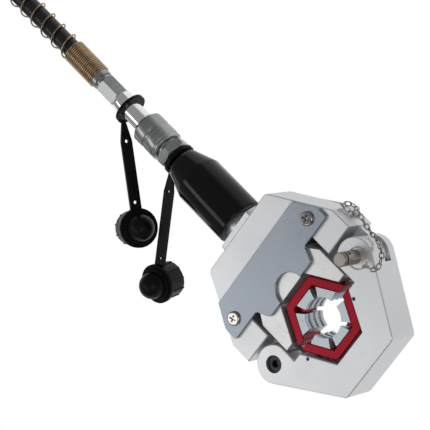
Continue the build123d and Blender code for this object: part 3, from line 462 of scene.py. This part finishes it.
@dataclass
class PumpHose:
    """The hose from the ferrule to the pump's fitting, with its unused length coiled."""

    radius: float = 0.0084
    coil_centre: Vector = field(default_factory=lambda: Vector((-0.560, -0.1024, -0.0158)))
    outer_turn: float = 0.1024
    inner_turn: float = 0.0856
    per_turn: int = 24
    coiled_turns: float = 1.75
    inward_from: float = 0.8
    inward_over: float = 0.2
    lead: tuple[Place, ...] = (
        (-340.0, 0.0, 0.0), (-440.0, 0.0, 0.0), (-465.0, 0.0, 0.0), (-524.0, 0.0, -15.8))
    tail: tuple[Place, ...] = (
        (-473.2, -89.0, -14.6), (-480.5, -64.5, -9.0), (-494.0, -41.0, -2.6), (-516.5, -19.5, 1.2),
        (-549.9, -7.5, 1.6), (-596.0, -13.4, 1.6), (-632.12, -30.28, 4.1))
    length: float = 1.48

    def turns(self) -> list[Vector]:
        """Work out the control points of the coiled length, outer turn first.

        Returns:
            The points, in metres.
        """
        points = []
        spread = 1 / math.cos(math.pi / self.per_turn)
        steps = round(self.per_turn * self.coiled_turns)
        for step in range(1, steps):
            turned = step / self.per_turn
            inward = min(max((turned - self.inward_from) / self.inward_over, 0.0), 1.0)
            reach = (self.outer_turn + (self.inner_turn - self.outer_turn) * inward) * spread
            angle = math.pi / 2 + 2 * math.pi * turned
            points.append(self.coil_centre + Vector((math.cos(angle), math.sin(angle), 0)) * reach)
        return points

    def build(self) -> bpy.types.Object:
        """Lay the hose along its route.

        Returns:
            The hose.
        """
        points = [Vector(point) * MM for point in self.lead] + self.turns()
        points += [Vector(point) * MM for point in self.tail]
        line = bpy.data.curves.new("pump_hose", "CURVE")
        line.dimensions = "3D"
        line.bevel_depth = self.radius
        line.bevel_resolution = 6
        line.resolution_u = 8
        line.use_fill_caps = True
        spline = line.splines.new("NURBS")
        spline.points.add(len(points) - 1)
        for place, point in zip(spline.points, points):
            place.co = (*point, 1.0)
        spline.order_u = 3
        spline.use_endpoint_u = True
        line.materials.append(FINISHES[Slot.HOSE].material())
        hose = bpy.data.objects.new("pump_hose", line)
        bpy.context.scene.collection.objects.link(hose)
        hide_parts("hose", "hose_coil", "hose_tail")
        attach(hose, "root")
        LOG.info("piece pump_hose: %d control points", len(points))
        return hose


@dataclass
class SpringGuard:
    """Wire spring that grips the hose end closely and goes on openly along the hose."""

    closed_start_x: float = -0.3111
    closed_turns: int = 18
    closed_pitch: float = 0.00206
    closed_radius: float = 0.00993
    closed_wire: float = 0.00096
    open_turns: int = 7
    open_pitch: float = 0.0148
    open_radius: float = 0.0104
    wire: float = 0.00076
    steps: int = 36

    def build(self) -> bpy.types.Object:
        """Wind the closed and the open part.

        Returns:
            The spring.
        """
        shape = bmesh.new()
        backwards = Vector((-1, 0, 0))
        start = Vector((self.closed_start_x, 0, 0))
        coil(shape, start, backwards, self.closed_radius, self.closed_wire, self.closed_turns,
             self.closed_pitch, steps=self.steps)
        start.x -= self.closed_turns * self.closed_pitch
        coil(shape, start, backwards, self.open_radius, self.wire, self.open_turns, self.open_pitch,
             steps=self.steps)
        return Fitter.piece("spring_guard", shape, Slot.BRASS, ["hose_spring_guard"], "root")


@dataclass
class ReturnSpring:
    """Spring around the rod that pushes the piston back, which in use grows shorter as the ram goes out; it
    is wound here at one fixed length.
    """

    rear_x: float = -0.1537
    front_x: float = -0.1333
    radius: float = 0.014
    wire: float = 0.0011
    turns: int = 4
    travel: float = 0.0082
    play: float = 0.0002

    def build(self) -> bpy.types.Object:
        """Wind the spring between the piston and the yoke's neck.

        Returns:
            The spring.
        """
        shape = bmesh.new()
        free = self.front_x - self.rear_x
        rise = free - 2 * self.wire - self.play
        coil(shape, Vector((self.rear_x + self.wire, 0, 0)), Vector((1, 0, 0)), self.radius, self.wire,
             self.turns, rise / self.turns)
        made = Fitter.piece("return_coil", shape, Slot.DARK, ["return_spring"], "ram")
        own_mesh(made)
        return made


@dataclass
class PinTether:
    """The split ring through the lock pin and the chain that holds it to the yoke."""

    ring_centre: Place = (-0.00465, 0.06825, 0.0318)
    ring_radius: float = 0.009
    ring_wire: float = 0.00055
    link_length: float = 0.0072
    link_width: float = 0.0048
    link_wire: float = 0.00055
    link_steps: int = 12
    link_sides: int = 6
    link_gap: float = 0.0049
    tilts: tuple[float, float] = (-48.0, 38.0)
    lower_route: tuple[Place, ...] = (
        (-43.0, 79.2, -5.0), (-46.5, 79.0, 2.0), (-53.0, 79.2, 4.6), (-54.5, 79.4, -2.0), (-48.5, 82.0, -4.6),
        (-41.0, 83.0, -1.0), (-30.0, 80.6, 1.5), (-20.8, 79.6, 3.0), (-8.0, 80.5, 8.5), (-2.8, 80.4, 12.5))
    upper_route: tuple[Place, ...] = (
        (-2.8, 80.4, 12.5), (3.5, 79.0, 17.0), (7.8, 75.5, 20.6), (9.6, 70.0, 21.2), (8.0, 66.0, 21.4),
        (4.6, 65.2, 24.0), (3.2, 66.4, 29.0), (2.9, 68.2, 31.4))

    def build(self) -> None:
        """Make the ring and both runs of the chain."""
        shape = bmesh.new()
        start = Vector(self.ring_centre) - Vector((0, 0, self.ring_wire))
        coil(shape, start, Vector((0, 0, 1)), self.ring_radius, self.ring_wire, 2, 2 * self.ring_wire)
        Fitter.piece("split_ring", shape, Slot.BRIGHT, ["pin_split_ring"], "lock_pin")
        lower = self.run("chain_lower", self.lower_route, Vector((0, 1, 0)))
        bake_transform(lower)
        upper = self.run("chain_upper", self.upper_route, Vector((0, 0, 1)))
        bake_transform(upper)

    def link(self) -> bpy.types.Mesh:
        """Make one oval link of round wire, lying flat about the origin with its length along X.

        Returns:
            The link's mesh.
        """
        shape = bmesh.new()
        middle = self.link_width / 2 - self.link_wire
        coil(shape, Vector(), Vector((0, 0, 1)), middle, self.link_wire, 1, 0.0,
             steps=self.link_steps, sides=self.link_sides)
        bmesh.ops.remove_doubles(shape, verts=shape.verts, dist=1e-6)
        end_caps = [face for face in shape.faces if len(face.verts) > 4]
        bmesh.ops.delete(shape, geom=end_caps, context="FACES_ONLY")
        stretch = (self.link_length - self.link_width) / 2
        half_step = math.pi / self.link_steps
        bmesh.ops.rotate(shape, verts=shape.verts, matrix=Matrix.Rotation(half_step, 3, "Z"))
        for side in (-1, 1):
            end = [vert for vert in shape.verts if vert.co.x * side > 0]
            bmesh.ops.translate(shape, verts=end, vec=Vector((side * stretch, 0, 0)))
        mesh = bpy.data.meshes.new("link")
        shape.to_mesh(mesh)
        shape.free()
        return mesh

    def run(self, name: str, route: Sequence[Place], outward: Vector) -> bpy.types.Object:
        """String links along a route.

        Args:
            name: The piece's name.
            route: The places that the run passes, in millimetres.
            outward: Direction away from the surface that the run lies on.

        Returns:
            The run of chain.
        """
        line = smooth_path(route)
        single = self.link()
        shape = bmesh.new()
        travelled, wanted, count = 0.0, 0.0, 0
        for start, end in zip(line, line[1:]):
            span = (end - start).length
            while travelled + span >= wanted:
                where = start.lerp(end, (wanted - travelled) / span)
                along = (end - start).normalized()
                across = outward.cross(along).normalized()
                flat = Matrix((along, across, along.cross(across))).transposed().to_4x4()
                tilt = Matrix.Rotation(math.radians(self.tilts[count % 2]), 4, "X")
                held = set(shape.verts)
                shape.from_mesh(single)
                fresh = [vert for vert in shape.verts if vert not in held]
                bmesh.ops.transform(shape, matrix=Matrix.Translation(where) @ flat @ tilt, verts=fresh)
                wanted += self.link_gap
                count += 1
            travelled += span
        bpy.data.meshes.remove(single)
        return Fitter.piece(name, shape, Slot.BRIGHT, ["retaining_chain"])


@dataclass
class Dressing:
    """Materials and edge roundings of the parts that keep their form."""

    edges: dict[str, float] = field(default_factory=lambda: {
        "yoke_body": 0.0005, "clevis": 0.0005, "pusher": 0.0004, "front_cover": 0.0005, "rear_cover": 0.0005,
        "die_cage_rear": 0.0006, "die_cage_front": 0.0006,
        "coupler_nipple": 0.0003, "coupler_sleeve": 0.0003, "hose_ferrule": 0.0003, "cylinder": 0.0004,
        "dust_cap_hose_side": 0.0005, "dust_cap_head_side": 0.0005,
        "pivot_bolt": 0.0003, "pull_pin": 0.0003,
        **{f"die_jaw_{number}": 0.0008 for number in range(1, 7)}})

    def build(self) -> None:
        """Dress every part in the finish that its slot names."""
        for part in frame["record"]["subparts"]:
            slot = Slot(part["material_slot"])
            Fitter.dress(part["node"], slot, self.edges.get(part["node"], 0.0))


# ------------------------------------------------------------------ studio

@dataclass(frozen=True)
class Viewpoint:
    """The camera: where it stands, how it is turned and how narrow its view is."""

    place: Place = (0.4954, 0.69113, 1.39684)
    right: Place = (0.64381, 0.52351, -0.55808)
    down: Place = (0.66533, -0.74323, 0.07034)
    lens: float = 166.13
    sensor: float = 36.0

    def build(self) -> bpy.types.Object:
        """Create the camera and make it the scene's own.

        Returns:
            The camera object.
        """
        data = bpy.data.cameras.new("camera")
        data.lens = self.lens
        data.sensor_width = self.sensor
        data.sensor_fit = "HORIZONTAL"
        data.clip_start = 0.01
        data.clip_end = 20.0
        camera = bpy.data.objects.new("camera", data)
        bpy.context.scene.collection.objects.link(camera)
        right = Vector(self.right).normalized()
        up = -Vector(self.down)
        up = (up - right * up.dot(right)).normalized()
        back = right.cross(up)
        turn = Matrix((right, up, back)).transposed()
        camera.matrix_world = Matrix.Translation(self.place) @ turn.to_4x4()
        bpy.context.scene.camera = camera
        return camera


@dataclass(frozen=True)
class Lamp:
    """One rectangular soft lamp, its long side along X where the two differ."""

    name: str
    place: Place
    sides: tuple[float, float]
    power: float
    aim: Place = (-0.15, 0.0, 0.0)

    def build(self) -> None:
        """Hang the lamp and point it at its aim."""
        data = bpy.data.lights.new(self.name, "AREA")
        data.shape = "RECTANGLE"
        data.size, data.size_y = self.sides
        data.energy = self.power
        lamp = bpy.data.objects.new(self.name, data)
        bpy.context.scene.collection.objects.link(lamp)
        back = (Vector(self.place) - Vector(self.aim)).normalized()
        along = Vector((1, 0, 0))
        along = (along - back * along.dot(back)).normalized()
        turn = Matrix((along, back.cross(along), back)).transposed()
        lamp.matrix_world = Matrix.Translation(self.place) @ turn.to_4x4()


@dataclass
class Studio:
    """Pale floor, white surroundings and soft lamps."""

    floor_size: float = 6.0
    floor_drop: float = 0.0002
    surroundings: float = 0.32
    lamps: tuple[Lamp, ...] = (
        Lamp("lamp_key", (0.9, 0.55, 1.4), (0.8, 0.8), 5.5),
        Lamp("lamp_softbox", (-0.45, -0.8, 1.25), (1.9, 0.36), 5.3),
        Lamp("lamp_strip", (-0.3, 1.5, 0.16), (1.8, 0.12), 0.3),
    )

    def build(self, lowest: float) -> None:
        """Lay the floor and hang the lamps.

        Args:
            lowest: Height of the object's lowest point, in metres.
        """
        self.lay_floor(lowest)
        self.light_world()
        for lamp in self.lamps:
            lamp.build()

    def lay_floor(self, lowest: float) -> None:
        """Make the floor: plain white to the eye and in reflections, pale and matt to all other light.

        Args:
            lowest: Height of the object's lowest point, in metres.
        """
        shape = bmesh.new()
        bmesh.ops.create_grid(shape, x_segments=1, y_segments=1, size=self.floor_size / 2)
        bmesh.ops.translate(shape, verts=shape.verts, vec=Vector((0, 0, lowest - self.floor_drop)))
        mesh = bpy.data.meshes.new("floor")
        shape.to_mesh(mesh)
        shape.free()
        floor = bpy.data.objects.new("floor", mesh)
        bpy.context.scene.collection.objects.link(floor)
        material = bpy.data.materials.new("floor_white")
        material.use_nodes = True
        bench = NodeBench(material.node_tree)
        shader = material.node_tree.nodes["Principled BSDF"]
        shader.inputs["Base Color"].default_value = (0.9, 0.9, 0.9, 1)
        shader.inputs["Roughness"].default_value = 0.9
        glow = bench.add("ShaderNodeEmission", Color=(1, 1, 1, 1), Strength=1.0)
        ray = bench.add("ShaderNodeLightPath")
        mix = bench.add("ShaderNodeMixShader")
        seen = bench.add("ShaderNodeMath", operation="MAXIMUM")
        bench.wire(ray.outputs["Is Camera Ray"], seen.inputs[0])
        bench.wire(ray.outputs["Is Glossy Ray"], seen.inputs[1])
        bench.wire(seen.outputs[0], mix.inputs[0])
        bench.wire(shader.outputs[0], mix.inputs[1])
        bench.wire(glow.outputs[0], mix.inputs[2])
        bench.wire(mix.outputs[0], material.node_tree.nodes["Material Output"].inputs["Surface"])
        mesh.materials.append(material)
        floor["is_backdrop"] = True

    def light_world(self) -> None:
        """Even white light from all round."""
        world = bpy.data.worlds.new("studio_white")
        bpy.context.scene.world = world
        world.use_nodes = True
        shade = world.node_tree.nodes["Background"]
        shade.inputs["Color"].default_value = (1, 1, 1, 1)
        shade.inputs["Strength"].default_value = self.surroundings


def main() -> None:
    """Build everything, with the floor laid at the object's lowest point."""
    logging.basicConfig(level=logging.INFO)
    bpy.context.scene.view_settings.view_transform = "Standard"
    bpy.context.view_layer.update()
    low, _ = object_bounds()
    Viewpoint().build()
    Studio().build(low.z)
    Dressing().build()
    PumpHose().build()
    SpringGuard().build()
    ReturnSpring().build()
    PinTether().build()


if __name__ == "__main__":
    main()
